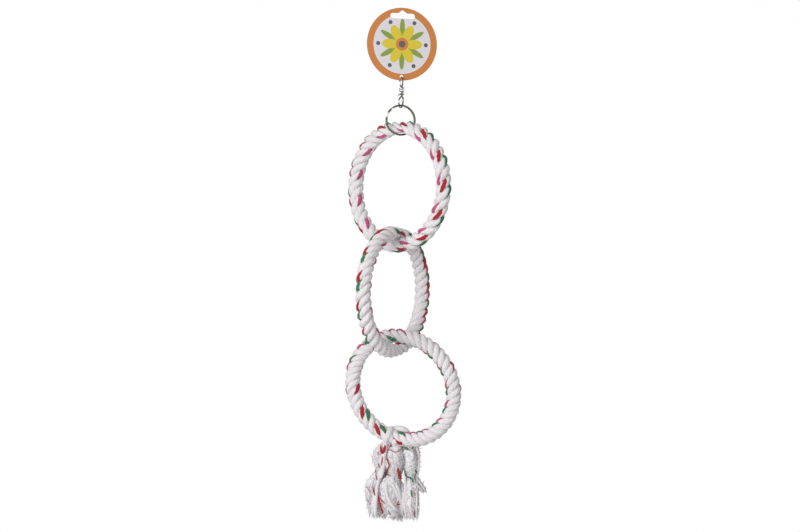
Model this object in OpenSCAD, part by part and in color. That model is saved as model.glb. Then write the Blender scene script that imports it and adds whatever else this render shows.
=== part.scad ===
// Hanging bird toy: a chain of three laid-rope rings with a frayed tassel,
// a split ring, a bent-wire clip and a round card hang tag.
// Millimetres, +Z up. The origin is the top of the tag's slot, where a peg carries the toy.

/* [Hang tag] */
// Diameter of the round card
tag_d = 91; // [84:1:100]
// Thickness of the card
tag_t = 0.6; // [0.4:0.1:1]
// Width of the hanging slot
slot_w = 32; // [28:1:36]
// Height of the slot at its two ends
slot_h = 6.6; // [5:0.2:7.4]
// Width of the slot's middle hump where it meets the slot
hump_w = 12; // [10:0.5:16]
// Height of the hump above the slot
hump_h = 3.7; // [3:0.1:5]
// Radius of the hump's rounded top
hump_r = 2.2; // [1.5:0.1:2.6]
// Card left above the hump
slot_margin = 3.3; // [2.5:0.1:6]
// Diameter of the punched hole that takes the clip
tag_hole_d = 4.4; // [4:0.1:6]
// Card left below the punched hole
hole_margin = 2.6; // [2:0.1:4]
// Clear space under the clip's wire in the punched hole
hole_clearance = 0.6; // [0.5:0.05:1]
// Turn of the tag, clip and split ring about the vertical
hardware_turn = 16; // [0:1:25]

/* [Wire clip] */
// Diameter of the clip's wire
clip_wire_d = 2; // [1.6:0.1:2.4]
// Height of the clip, between wire centres
clip_h = 38.2; // [36:0.1:42]
// Width of the upper eye, between wire centres
clip_eye_w = 12.8; // [11:0.2:15]
// Width of the lower loop, between wire centres
clip_loop_w = 19; // [16:0.5:22]
// Depth of the first wrap below the top of the clip
clip_wrap_z = 13.6; // [13:0.1:15]
// Offset of the straight spine from the clip's middle
clip_spine = 3; // [2:0.1:4]
// Number of turns wrapped round the spine
wrap_turns = 2; // [1:1:2]
// Clear space between neighbouring turns of the wrap
wrap_gap = 0.5; // [0.45:0.05:0.8]
// Length of the latch tip beyond the spine
latch_tip = 8; // [6:0.5:10]

/* [Split ring] */
// Outer diameter of the split ring
split_d = 39; // [37:0.5:44]
// Width of its flat wire, measured outwards
split_w = 2.4; // [2:0.1:3]
// Thickness of its flat wire
split_t = 1.1; // [0.9:0.05:1.4]
// Clear space between the two turns
split_gap = 0.5; // [0.45:0.05:0.8]
// Angle over which the wire steps from one turn to the other
split_step = 50; // [40:5:60]
// Place of the step, counted from the right-hand side
split_step_at = 168; // [150:1:200]

/* [Rope] */
// Diameter of the three-strand rope
rope_d = 19; // [16:0.2:20]
// Clear space between neighbouring strands
strand_gap = 0.3; // [0.25:0.05:0.5]
// Length of rope that a hard contact squeezes, to either side
nip_length = 15; // [12:1:20]
// Clear space between pieces that hang on each other
clearance = 0.3; // [0.25:0.05:0.5]

/* [Upper ring] */
// Diameter of the upper ring along the middle of its rope
upper_d = 147.6; // [130:0.2:165]
// Turns of the strands round the ring
upper_lays = 13; // [11:1:14]
// Place of the first strand round the rope, at the top of the ring
upper_start = -40; // [-180:5:180]
// Turn of the ring about the vertical
upper_turn = -42; // [-50:1:-35]
// Squeeze of the rope where the split ring carries it
upper_nip = 0.2; // [0:0.05:0.3]

/* [Middle ring] */
// Diameter of the middle ring along the middle of its rope
middle_d = 147; // [130:0.2:165]
// Turns of the strands round the ring
middle_lays = 14; // [12:1:15]
// Place of the first strand round the rope, at the top of the ring
middle_start = -30; // [-180:5:180]
// Turn of the ring about the vertical
middle_turn = 60; // [50:1:68]
// Squeeze of the rope at the top, where it hangs on the upper ring
middle_nip = 0.4; // [0.2:0.05:0.45]
// Squeeze of the rope at the bottom, where the lower ring hangs on it
middle_low_nip = 0.2; // [0:0.05:0.3]

/* [Lower ring] */
// Length of the oval lower ring along the middle of its rope
lower_long = 136.6; // [124:0.2:150]
// Width of the oval across its length
lower_short = 120.4; // [110:0.2:132]
// Lean of the oval's length, downwards on the right
lower_lean = 49; // [40:1:60]
// Turns of the strands round the ring
lower_lays = 15; // [11:1:15]
// Place of the first strand round the rope, at the top of the ring
lower_start = 145; // [-180:5:180]
// Turn of the ring about the vertical
lower_turn = -8; // [-15:1:0]

/* [Hanging places] */
// Place of the split ring on the upper ring, off its top
split_on_upper = 0.5; // [-5:0.5:8]
// Place of the middle ring on the upper ring, off its bottom
middle_on_upper = -1; // [-5:0.5:8]
// Place of the upper ring on the middle ring, off its top
upper_on_middle = 7.5; // [0:0.5:18]
// Place of the lower ring on the middle ring, off its bottom
lower_on_middle = 12; // [0:0.5:26]
// Place of the middle ring on the lower ring, across from its middle
middle_on_lower = -8.5; // [-14:0.5:5]

/* [Tassel] */
// Length of the longest frayed tail
tassel_len = 94; // [86:1:106]

/* [Hidden] */
$fn = 64;

strand_sides = 6;
rings_per_lay = 8;
wire_sides = 8;
tail_sides = 8;
lay_step = 0.05;
contact_reach = 16;
contact_step = 1.6;
up = [0, 0, 1];
cotton = "ghostwhite";
nickel = "silver";
card = "sandybrown";

// Directions: across the tag, and out of its front
across = turned(hardware_turn);
front = cross(across, up);

// Heights of the tag, clip and split ring
tag_z = slot_margin - tag_d / 2;
slot_z = -hump_h - slot_h / 2;
tag_hole_z = tag_z - tag_d / 2 + hole_margin + tag_hole_d / 2;
clip_wire_r = clip_wire_d / 2;
clip_top_z = tag_hole_z - tag_hole_d / 2 + hole_clearance + clip_wire_r;
clip_bottom_z = clip_top_z - clip_h;
split_inner_r = split_d / 2 - split_w;
split_lift = 0.25;
split_z = clip_bottom_z + clip_wire_r + clearance + split_lift - split_inner_r;

// Points of the clip's wire, in its own plane: front, across, up
wrap_r = clip_wire_d + wrap_gap;
eye_r = clip_eye_w / 2;
loop_r = clip_loop_w / 2;
latch_z = -clip_wrap_z - wrap_turns * wrap_r - wrap_r - wrap_gap;
latch_drop = 1.5;
lead = 5;
wrap_path = [for (a = [0 : 36 : wrap_turns * 360])
    [clip_spine + wrap_r * cos(90 + a), wrap_r * sin(90 + a),
        -clip_wrap_z - wrap_r * (wrap_turns - a / 360)]];
eye_path = [for (a = [180 : -20 : 0]) [eye_r * cos(a), 0, eye_r * (sin(a) - 1)]];
loop_path = [for (a = [0 : -18 : -180]) [loop_r * cos(a), 0, loop_r * (sin(a) + 1) - clip_h]];
latch_path = [for (a = [90 : -30 : -90]) [clip_spine + wrap_r * cos(a), wrap_r * sin(a), latch_z]];
clip_path = concat(
    wrap_path,
    sweep_between(last(wrap_path), [-lead, 0, 0], eye_path[0], [0, 0, lead], 5),
    eye_path,
    sweep_between(last(eye_path), [0, 0, -lead], [clip_spine, 0, -clip_wrap_z], [0, 0, -lead / 2], 4),
    [[clip_spine, 0, -clip_wrap_z], [clip_spine, 0, latch_z - clip_wire_d]],
    sweep_between([clip_spine, 0, latch_z - clip_wire_d], [0, 0, -lead / 2], loop_path[0], [0, 0, -lead], 4),
    loop_path,
    sweep_between(last(loop_path), [0, 0, lead / 2], latch_path[0], [lead, 0, 0], 5),
    latch_path,
    [last(latch_path) - [latch_tip, 0, latch_drop]]
);

// Points of the split ring's flat wire: across, front, up
split_mid_r = split_d / 2 - split_w / 2;
split_pitch = split_t + split_gap;
split_free = split_step / 2 + 5;
split_path = [for (a = [split_free : 15 : 720 - split_free])
    let (done = min(1, max(0, (a - 360) / split_step + 0.5)))
    let (level = split_pitch * (0.5 - done * done * (3 - 2 * done)))
    let (place = a + split_step_at)
    [split_mid_r * cos(place), level, split_mid_r * sin(place)]];
split_rim = 0.3;

// Rings: width, height, lays, turn, squeezed places [angle, squeeze], place of the first strand and lean
upper = [upper_d, upper_d, upper_lays, upper_turn,
    [[asin(2 * split_on_upper / upper_d), upper_nip]], upper_start, 0];
middle = [middle_d, middle_d, middle_lays, middle_turn,
    [[asin(2 * upper_on_middle / middle_d), middle_nip],
     [180 - asin(2 * lower_on_middle / middle_d), middle_low_nip]], middle_start, 0];
lower = [lower_long, lower_short, lower_lays, lower_turn, [], lower_start, lower_lean];
rope_r = rope_d / 2;

// Dots on the inside of the split ring, round its lowest place
split_dots = [for (level = [-1, 0, 1], a = [-2 * contact_reach : contact_step : 2 * contact_reach])
    concat(split_inner_r * (sin(a) * across + (1 - cos(a)) * up)
        + level * (split_pitch + split_t) / 2 * front, 0)];

// Rope centres at each contact, and the centre of each ring
split_bottom = [0, 0, split_z - split_inner_r];
upper_lift = settled(split_dots, top_dots(upper, split_on_upper), 0, 2 * rope_d);
upper_centre = split_bottom + upper_lift * up - off_top(upper, split_on_upper);
upper_contact = upper_centre + off_bottom(upper, middle_on_upper);
middle_lift = settled(bottom_dots(upper, middle_on_upper), top_dots(middle, upper_on_middle), 0, 2 * rope_d);
middle_centre = upper_contact + middle_lift * up - off_top(middle, upper_on_middle);
middle_contact = middle_centre + off_bottom(middle, lower_on_middle);
lower_lift = settled(bottom_dots(middle, lower_on_middle), top_dots(lower, middle_on_lower), 0, 2 * rope_d);
lower_centre = middle_contact + lower_lift * up - off_top(lower, middle_on_lower);

// Tails: points beside the lowest place of the rope, each with its depth as a share and its radius
tail_rings = 3;
left_tail = [[-17, -1, 0, 1.2], [-22, -3, 0.06, 6], [-28, -4, 0.2, 7.5], [-27.5, -4, 0.36, 5.5],
    [-35, -5, 0.58, 8], [-34, -5, 0.8, 7.5], [-32, -5, 0.98, 5.5]];
centre_tail = [[-6, -1, 0, 1.2], [-8, -4, 0.07, 7.5], [-9.5, -7, 0.22, 10], [-10, -7, 0.39, 7.5],
    [-14.5, -7, 0.56, 11], [-14, -7, 0.8, 10.5], [-14, -7, 0.97, 8]];
right_tail = [[5.5, -1, 0, 1.2], [9, -3, 0.1, 6.5], [11.5, -4, 0.28, 7.5], [11, -4, 0.42, 5.5],
    [12, -5, 0.6, 8.5], [12.5, -5, 0.82, 9], [13.5, -5, 0.96, 6]];
side_tail = [[17, 1, 0, 1.2], [16.5, 8, 0.08, 4.5], [17.5, 9, 0.24, 4.5], [16, 8, 0.38, 4],
    [19.5, 7, 0.5, 5], [26.5, 6, 0.6, 4]];
back_left_tail = [[-14, 5, 0, 1.2], [-17, 11.5, 0.11, 6], [-22, 15, 0.38, 6.5], [-26, 15, 0.62, 8],
    [-27, 15, 0.86, 8], [-27, 15, 1, 5.5]];
back_right_tail = [[3, 4, 0, 1.2], [2, 12, 0.1, 6], [-5, 15, 0.38, 6.5], [-8, 16, 0.62, 8],
    [-5, 15, 0.86, 8], [-4, 15, 0.99, 5]];

function last(list) = list[len(list) - 1];
function unit(v) = v / norm(v);
function turned(a) = [cos(a), sin(a), 0];

// Points of a smooth bend from one end point and direction to another, ends left out
function sweep_between(p, p_way, q, q_way, steps) =
    [for (i = [1 : steps - 1])
        let (s = i / steps)
        p * pow(1 - s, 3) + (p + p_way) * 3 * s * pow(1 - s, 2)
            + (q - q_way) * 3 * s * s * (1 - s) + q * pow(s, 3)];

// Least distance between neighbouring strands laid at radius c with this lay
function strand_distance(c, lay) =
    min([for (a = [0 : 3 : 120]) norm([2 * c * sin((120 - a) / 2), lay * a / 360])]);

// Radius at which three strands, as thick as the rope allows, clear each other inside the ring
function lay_r(ring, c = 0) =
    let (inner_lay = 2 * PI * (ring[1] / 2 - c * ring[0] / ring[1]) / ring[2])
    strand_distance(c, inner_lay) >= 2 * (rope_r - c) + strand_gap ? c : lay_r(ring, c + lay_step);

// Half of a ring's width and height, each in its leaned direction
function half_wide(ring) = (cos(ring[6]) * turned(ring[3]) - sin(ring[6]) * up) * ring[0] / 2;
function half_high(ring) = (sin(ring[6]) * turned(ring[3]) + cos(ring[6]) * up) * ring[1] / 2;

// Rope centreline at angle t from the top of a ring, seen from its front, clockwise
function rope_point(ring, t) = half_wide(ring) * sin(t - ring[6]) + half_high(ring) * cos(t - ring[6]);
function rope_way(ring, t) = unit(half_wide(ring) * cos(t - ring[6]) - half_high(ring) * sin(t - ring[6]));
function rope_out(ring, t) = cross(cross(turned(ring[3]), up), rope_way(ring, t));

// Direction from the middle of the rope to one of its strands
function strand_out(ring, place, t) =
    let (turn = ring[2] * t + ring[5] + 120 * place)
    cos(turn) * rope_out(ring, t) + sin(turn) * cross(turned(ring[3]), up);

// Angles at which the upper and the lower rope of a ring lie at a distance across from its middle
function reach_across(ring) = [cos(ring[6]) * ring[0] / 2, sin(ring[6]) * ring[1] / 2];
function ahead(ring) = let (reach = reach_across(ring)) ring[6] - atan2(reach[1], reach[0]);
function top_angle(ring, off) = ahead(ring) + asin(off / norm(reach_across(ring)));
function bottom_angle(ring, off) = ahead(ring) + 180 - asin(off / norm(reach_across(ring)));

// Places, and directions of the rope, at those angles
function off_top(ring, off) = rope_point(ring, top_angle(ring, off));
function off_bottom(ring, off) = rope_point(ring, bottom_angle(ring, off));
function lie_top(ring, off) = rope_way(ring, top_angle(ring, off));
function lie_bottom(ring, off) = rope_way(ring, bottom_angle(ring, off));

// Dots along the strands of a ring near angle t, about a place on it: where they lie and their radius
function strand_dots(ring, t, place) =
    let (c = lay_r(ring))
    [for (a = [t - contact_reach : contact_step : t + contact_reach], k = [0 : 2])
        let (size = squeeze(ring, a))
        concat(rope_point(ring, a) - place + size * c * strand_out(ring, k, a), size * (rope_r - c))];
function top_dots(ring, off) = strand_dots(ring, top_angle(ring, off), off_top(ring, off));
function bottom_dots(ring, off) = strand_dots(ring, bottom_angle(ring, off), off_bottom(ring, off));

// Least clear space between two lists of dots, with the second lifted
function clear_space(below, above, lift) =
    min([for (a = below, b = above) norm([b[0] - a[0], b[1] - a[1], b[2] + lift - a[2]]) - a[3] - b[3]]);

// Lift at which what hangs just clears what carries it, found by halving
function settled(below, above, low, high, halvings = 9) =
    let (mid = (low + high) / 2)
    halvings == 0 ? high :
    clear_space(below, above, mid) < clearance ? settled(below, above, mid, high, halvings - 1)
        : settled(below, above, low, mid, halvings - 1);

// Share of its full size that the rope has at angle t
function squeeze(ring, t, i = 0) =
    i == len(ring[4]) ? 1 :
    let (away = (t - ring[4][i][0] + 540) % 360 - 180)
    let (far = away * PI / 180 * ring[0] / 2 / nip_length)
    (1 - ring[4][i][1] * exp(-far * far)) * squeeze(ring, t, i + 1);

// Directions across a path, carried along it without twist
function path_ways(path) =
    [for (i = [0 : len(path) - 1]) unit(path[min(i + 1, len(path) - 1)] - path[max(i - 1, 0)])];
function carried(ways, before, i = 0) =
    i == len(ways) ? [] :
    let (n = unit(before - (before * ways[i]) * ways[i]))
    concat([n], carried(ways, n, i + 1));

// Least distance between two places of a wire that lie further apart along it than apart
function self_distance(path, apart) =
    min([for (i = [0 : len(path) - 1], j = [i + apart : len(path) - 1]) norm(path[i] - path[j])]);

// A skin of triangles over rings of points, closed round or capped at both ends
module skin(points, sides, closed) {
    rings = len(points) / sides;
    spans = closed ? rings : rings - 1;
    wall = [for (i = [0 : spans - 1], k = [0 : sides - 1])
        let (a = i * sides, b = ((i + 1) % rings) * sides, m = (k + 1) % sides)
        each [[a + k, b + m, b + k], [a + k, a + m, b + m]]];
    end = (rings - 1) * sides;
    caps = closed ? [] : [for (k = [1 : sides - 2]) each [[0, k + 1, k], [end, end + k, end + k + 1]]];
    polyhedron(points, concat(wall, caps));
}

// A round tube along a path, with a radius at each point
module tube(path, radii, sides, first_way) {
    ways = path_ways(path);
    sidewise = carried(ways, first_way);
    points = [for (i = [0 : len(path) - 1], k = [0 : sides - 1])
        let (a = -360 * k / sides)
        path[i] + radii[i] * (cos(a) * sidewise[i] + sin(a) * cross(ways[i], sidewise[i]))];
    skin(points, sides, false);
}

// One strand of a laid rope ring: a closed helix round the ring's rope
module strand(ring, centre, place) {
    c = lay_r(ring);
    strand_r = rope_r - c;
    steps = ring[2] * rings_per_lay;
    points = [for (i = [0 : steps - 1], k = [0 : strand_sides - 1])
        let (t = 360 * i / steps, size = squeeze(ring, t))
        let (lean = atan(2 * c * size * ring[2] / ring[0]))
        let (out = strand_out(ring, place, t))
        let (side = cos(lean) * cross(rope_way(ring, t), out) - sin(lean) * rope_way(ring, t))
        let (a = -360 * k / strand_sides)
        centre + rope_point(ring, t)
            + size * (c * out + strand_r * (cos(a) * out + sin(a) * side))];
    color(cotton) skin(points, strand_sides, true);
}

// Height at which a flat end of radius r, below the lower ring, just clears its strands
function tail_seat(x, y, r) =
    let (c = lay_r(lower), reach = rope_r - c + clearance)
    min([for (t = [135 : 225], place = [0 : 2])
        let (p = rope_point(lower, t) + c * strand_out(lower, place, t))
        let (away = max(0, norm([p[0] - x, p[1] - y]) - r))
        if (away < reach) p[2] - sqrt(reach * reach - away * away)]);

// One frayed tail: a strand end that swells at its knot, narrows and flares
module tail(points) {
    count = len(points) - 1;
    smooth = [for (i = [0 : count - 1], k = [0 : tail_rings - 1]) blend_point(points, i, k / tail_rings)];
    whole = concat(smooth, [last(points)]);
    seat = tail_seat(points[0][0], points[0][1], points[0][3]);
    path = [for (p = whole) lower_centre + [p[0], p[1], seat - p[2] * tassel_len]];
    radii = [for (p = whole) p[3]];
    color(cotton) tube(path, radii, tail_sides, [0, -1, 0]);
}

// A smooth curve through the points of a list, at share s of the way from point i
function blend_point(list, i, s) =
    let (a = list[max(i - 1, 0)], b = list[i], c = list[i + 1], d = list[min(i + 2, len(list) - 1)])
    0.5 * (2 * b + (c - a) * s + (2 * a - 5 * b + 4 * c - d) * s * s
        + (3 * b - a - 3 * c + d) * pow(s, 3));

// A round end of an outline, from one angle to another
function arc(centre, r, from, to) = [for (a = [from : 15 : to]) centre + r * [cos(a), sin(a)]];

// The hanging slot: round ends, and a hump in the middle of its upper edge
module slot_outline() {
    end_x = (slot_w - slot_h) / 2;
    top = slot_h / 2;
    polygon(concat(
        arc([end_x, 0], top, -90, 90),
        [[hump_w / 2, top]],
        arc([0, top + hump_h - hump_r], hump_r, 30, 150),
        [[-hump_w / 2, top]],
        arc([-end_x, 0], top, 90, 270)));
}

module hang_tag() {
    color(card) rotate([90, 0, hardware_turn]) linear_extrude(tag_t, center = true) difference() {
        translate([0, tag_z]) circle(d = tag_d, $fn = 128);
        translate([0, slot_z]) slot_outline();
        translate([0, tag_hole_z]) circle(d = tag_hole_d);
    }
}

module wire_clip() {
    path = [for (p = clip_path) p[0] * front + p[1] * across + (clip_top_z + p[2]) * up];
    color(nickel) tube(path, [for (p = path) clip_wire_r], wire_sides, across);
}

// Flat wire of two turns: its edges are bevelled, so each ring of points has eight corners
module split_ring() {
    half_w = split_w / 2;
    half_t = split_t / 2;
    edge = [[half_w, half_t - split_rim], [half_w - split_rim, half_t],
        [split_rim - half_w, half_t], [-half_w, half_t - split_rim],
        [-half_w, split_rim - half_t], [split_rim - half_w, -half_t],
        [half_w - split_rim, -half_t], [half_w, split_rim - half_t]];
    points = [for (p = split_path, e = edge)
        let (out = unit([p[0], 0, p[2]]), spot = p + e[0] * out + [0, e[1], 0])
        spot[0] * across + spot[1] * front + (split_z + spot[2]) * up];
    color(nickel) skin(points, len(edge), false);
}

module upper_strand_red() strand(upper, upper_centre, 0);
module upper_strand_pink() strand(upper, upper_centre, 1);
module upper_strand_green() strand(upper, upper_centre, 2);
module middle_strand_red() strand(middle, middle_centre, 0);
module middle_strand_pink() strand(middle, middle_centre, 2);
module middle_strand_green() strand(middle, middle_centre, 1);
module lower_strand_red() strand(lower, lower_centre, 0);
module lower_strand_pink() strand(lower, lower_centre, 2);
module lower_strand_green() strand(lower, lower_centre, 1);
module tail_left() tail(left_tail);
module tail_centre() tail(centre_tail);
module tail_right() tail(right_tail);
module tail_side() tail(side_tail);
module tail_back_left() tail(back_left_tail);
module tail_back_right() tail(back_right_tail);

// Sizes that follow from the rest: strand radii, wire gaps, pivots and axes
echo(strand_radii = [for (ring = [upper, middle, lower]) rope_r - lay_r(ring)]);
echo(split_gap_least = self_distance(split_path, 12) - split_t);
echo(wrap_gap_least = self_distance(clip_path, 8) - clip_wire_d);
echo(clip_pivot = [0, 0, clip_top_z], axis = across);
echo(split_pivot = [0, 0, clip_bottom_z], axis = front);
echo(upper_pivot = [0, 0, split_z - split_inner_r - split_w / 2], axis = across);
echo(middle_pivot = upper_contact, axis = lie_bottom(upper, middle_on_upper));
echo(lower_pivot = middle_contact + lower_lift * up, axis = lie_top(lower, middle_on_lower));
echo(centres = [upper_centre, middle_centre, lower_centre]);

hang_tag();
wire_clip();
split_ring();
upper_strand_red();
upper_strand_pink();
upper_strand_green();
middle_strand_red();
middle_strand_pink();
middle_strand_green();
lower_strand_red();
lower_strand_pink();
lower_strand_green();
tail_left();
tail_centre();
tail_right();
tail_side();
tail_back_left();
tail_back_right();
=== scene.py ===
"""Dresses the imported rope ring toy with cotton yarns, nickel wire and a printed card.

Run as a script. Shapes are worked out in millimetres and placed in metres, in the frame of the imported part:
+Z up, -Y towards the viewer, the origin at the top of the tag's hanging slot.
"""
import math
import random
from collections import namedtuple

import bmesh
import bpy
from bpy.props import FloatProperty, FloatVectorProperty, IntProperty, PointerProperty
from mathutils import Matrix, Vector, noise


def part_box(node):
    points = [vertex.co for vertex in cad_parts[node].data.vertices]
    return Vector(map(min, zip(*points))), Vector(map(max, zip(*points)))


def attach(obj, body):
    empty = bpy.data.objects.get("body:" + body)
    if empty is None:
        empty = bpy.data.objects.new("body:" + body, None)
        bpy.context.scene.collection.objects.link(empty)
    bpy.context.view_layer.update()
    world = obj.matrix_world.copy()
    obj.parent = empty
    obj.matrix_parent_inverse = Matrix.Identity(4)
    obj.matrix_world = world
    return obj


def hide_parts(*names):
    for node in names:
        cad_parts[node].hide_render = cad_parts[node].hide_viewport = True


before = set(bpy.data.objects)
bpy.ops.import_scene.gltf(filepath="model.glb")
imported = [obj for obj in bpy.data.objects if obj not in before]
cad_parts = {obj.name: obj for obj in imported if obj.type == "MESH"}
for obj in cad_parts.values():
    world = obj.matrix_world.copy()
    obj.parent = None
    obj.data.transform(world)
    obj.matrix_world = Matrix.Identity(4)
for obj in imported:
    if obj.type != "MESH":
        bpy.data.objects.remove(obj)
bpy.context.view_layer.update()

bl_info = {
    "name": "Rope ring toy",
    "version": (1, 0, 0),
    "blender": (4, 5, 0),
    "location": "3D View > Sidebar > Rope toy",
    "description": "Builds the yarns, wire and card of a hanging rope ring toy on its packed frame",
    "category": "Object",
}

MM = 0.001
UP = Vector((0, 0, 1))
TURN = 2 * math.pi
COLOURS = ("red", "pink", "green")

# Rope rings: sizes along the middle of the rope, lean of the width, lays, turn about the vertical, strand
# radius, centre, place of the first strand round the rope, the strands' colours in their order round it,
# and the places where wire or another rope presses it in, each as an angle off the top and a share
Ring = namedtuple("Ring", "width height lean lays turn strand centre start order nips")
ROPE_R = 9.5
NIP_LENGTH = 15
RINGS = {
    "upper": Ring(147.6, 147.6, 0, 13, -42, 4.0, (-0.372, 0.335, -220.058), -40, ("red", "pink", "green"),
                  ((0.4, 0.28), (180, 0.1))),
    "middle": Ring(147, 147, 0, 14, 60, 3.9, (-4.865, -5.491, -351.679), -30, ("red", "green", "pink"),
                   ((5.9, 0.28), (170.6, 0.18))),
    "lower": Ring(136.6, 120.4, 49, 15, -8, 3.7, (9.553, 3.718, -471.835), 145, ("red", "green", "pink"),
                  ((0, 0.1),)),
}

# Where each coloured yarn shows on its rope: angles off the ring's top, each with the angle round the rope,
# which ends where it began or whole turns on
CROWNS = {
    "upper": {
        "red": ((0, 48), (360, 48)),
        "pink": ((0, 127), (90, 89), (150, 110), (180, 92), (215, 142), (270, 165), (360, 127)),
        "green": ((0, 15), (90, -15), (180, 15), (270, 45), (360, 15)),
    },
    "middle": {
        "red": ((0, 102), (20, 87), (60, 92), (90, 92), (140, 78), (215, 325), (250, 320), (275, 338),
                (300, 342), (330, 325), (360, 462)),
        "pink": ((0, -60), (20, 75), (60, 82), (90, 84), (140, 74), (215, -238), (330, -238), (360, -60)),
        "green": ((0, 85), (20, 80), (90, 78), (140, 70), (215, 325), (250, 325), (275, 347), (300, 347),
                  (330, 325), (360, 445)),
    },
    "lower": {
        "red": ((0, -150), (2, -180), (14, -57), (59, 15), (83, -3), (172, -190), (187, -305), (213, -267),
                (237, -258), (260, -231), (283, -185), (330, -60), (343, 0), (351, 20), (360, -150)),
        "pink": ((0, 15), (31, 171), (56, 162), (105, 152), (126, 160), (153, 177), (180, 175), (261, 370),
                 (282, 375), (308, 400), (330, 385), (350, 378), (360, 375)),
        "green": ((0, 130), (15, 195), (38, 156), (134, 160), (164, 177), (188, 150), (208, 122), (231, 131),
                  (254, 185), (272, 365), (295, 390), (316, 420), (360, 490)),
    },
}

# Tails: points beside the middle of the lower ring, each with its depth as a share and its radius
TASSEL_LENGTH = 94
TAILS = {
    "tail_left": ((-17, -1, 0, 1.2), (-22, -3, 0.06, 6), (-28, -4, 0.2, 7.5), (-27.5, -4, 0.36, 5.5),
                  (-35, -5, 0.58, 8), (-34, -5, 0.8, 7.5), (-32, -5, 0.98, 5.5)),
    "tail_centre": ((-6, -1, 0, 1.2), (-8, -4, 0.07, 7.5), (-9.5, -7, 0.22, 10), (-10, -7, 0.39, 7.5),
                    (-14.5, -7, 0.56, 11), (-14, -7, 0.8, 10.5), (-14, -7, 0.97, 8)),
    "tail_right": ((5.5, -1, 0, 1.2), (9, -3, 0.1, 6.5), (11.5, -4, 0.28, 7.5), (11, -4, 0.42, 5.5),
                   (12, -5, 0.6, 8.5), (12.5, -5, 0.82, 9), (13.5, -5, 0.96, 6)),
    "tail_side": ((17, 1, 0, 1.2), (16.5, 8, 0.08, 4.5), (17.5, 9, 0.24, 4.5), (16, 8, 0.38, 4),
                  (19.5, 7, 0.5, 5), (26.5, 6, 0.6, 4)),
    "tail_back_left": ((-14, 5, 0, 1.2), (-17, 11.5, 0.11, 6), (-22, 15, 0.38, 6.5), (-26, 15, 0.62, 8),
                       (-27, 15, 0.86, 8), (-27, 15, 1, 5.5)),
    "tail_back_right": ((3, 4, 0, 1.2), (2, 12, 0.1, 6), (-5, 15, 0.38, 6.5), (-8, 16, 0.62, 8),
                        (-5, 15, 0.86, 8), (-4, 15, 0.99, 5)),
}

# Painted highlights on the wire of the clip and the split ring: across, up and how far each reaches
PAINTED_HIGHLIGHTS = ((1.2, -100, 4), (-1.2, -91, 3.5), (-0.8, -113.5, 4), (-16, -131, 4.5), (-10, -124, 3))

# Lashings: points on the lower ring, in degrees off its top and round its rope, each with its distance from
# the middle of the rope, and the tail, if any, that the strand runs into
LASHINGS = {
    "lashing_left": ([(199, degrees, 8.7) for degrees in range(300, 20, -30)], "tail_left"),
    "lashing_right": ([(189, 75, 6), (190, 40, 8), (190, 10, 8.5)], "tail_centre"),
    "lashing_loop": ([(198, 235, 6), (195, 200, 11), (187, 188, 12.5), (180, 200, 11), (176, 235, 6)], None),
}

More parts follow.
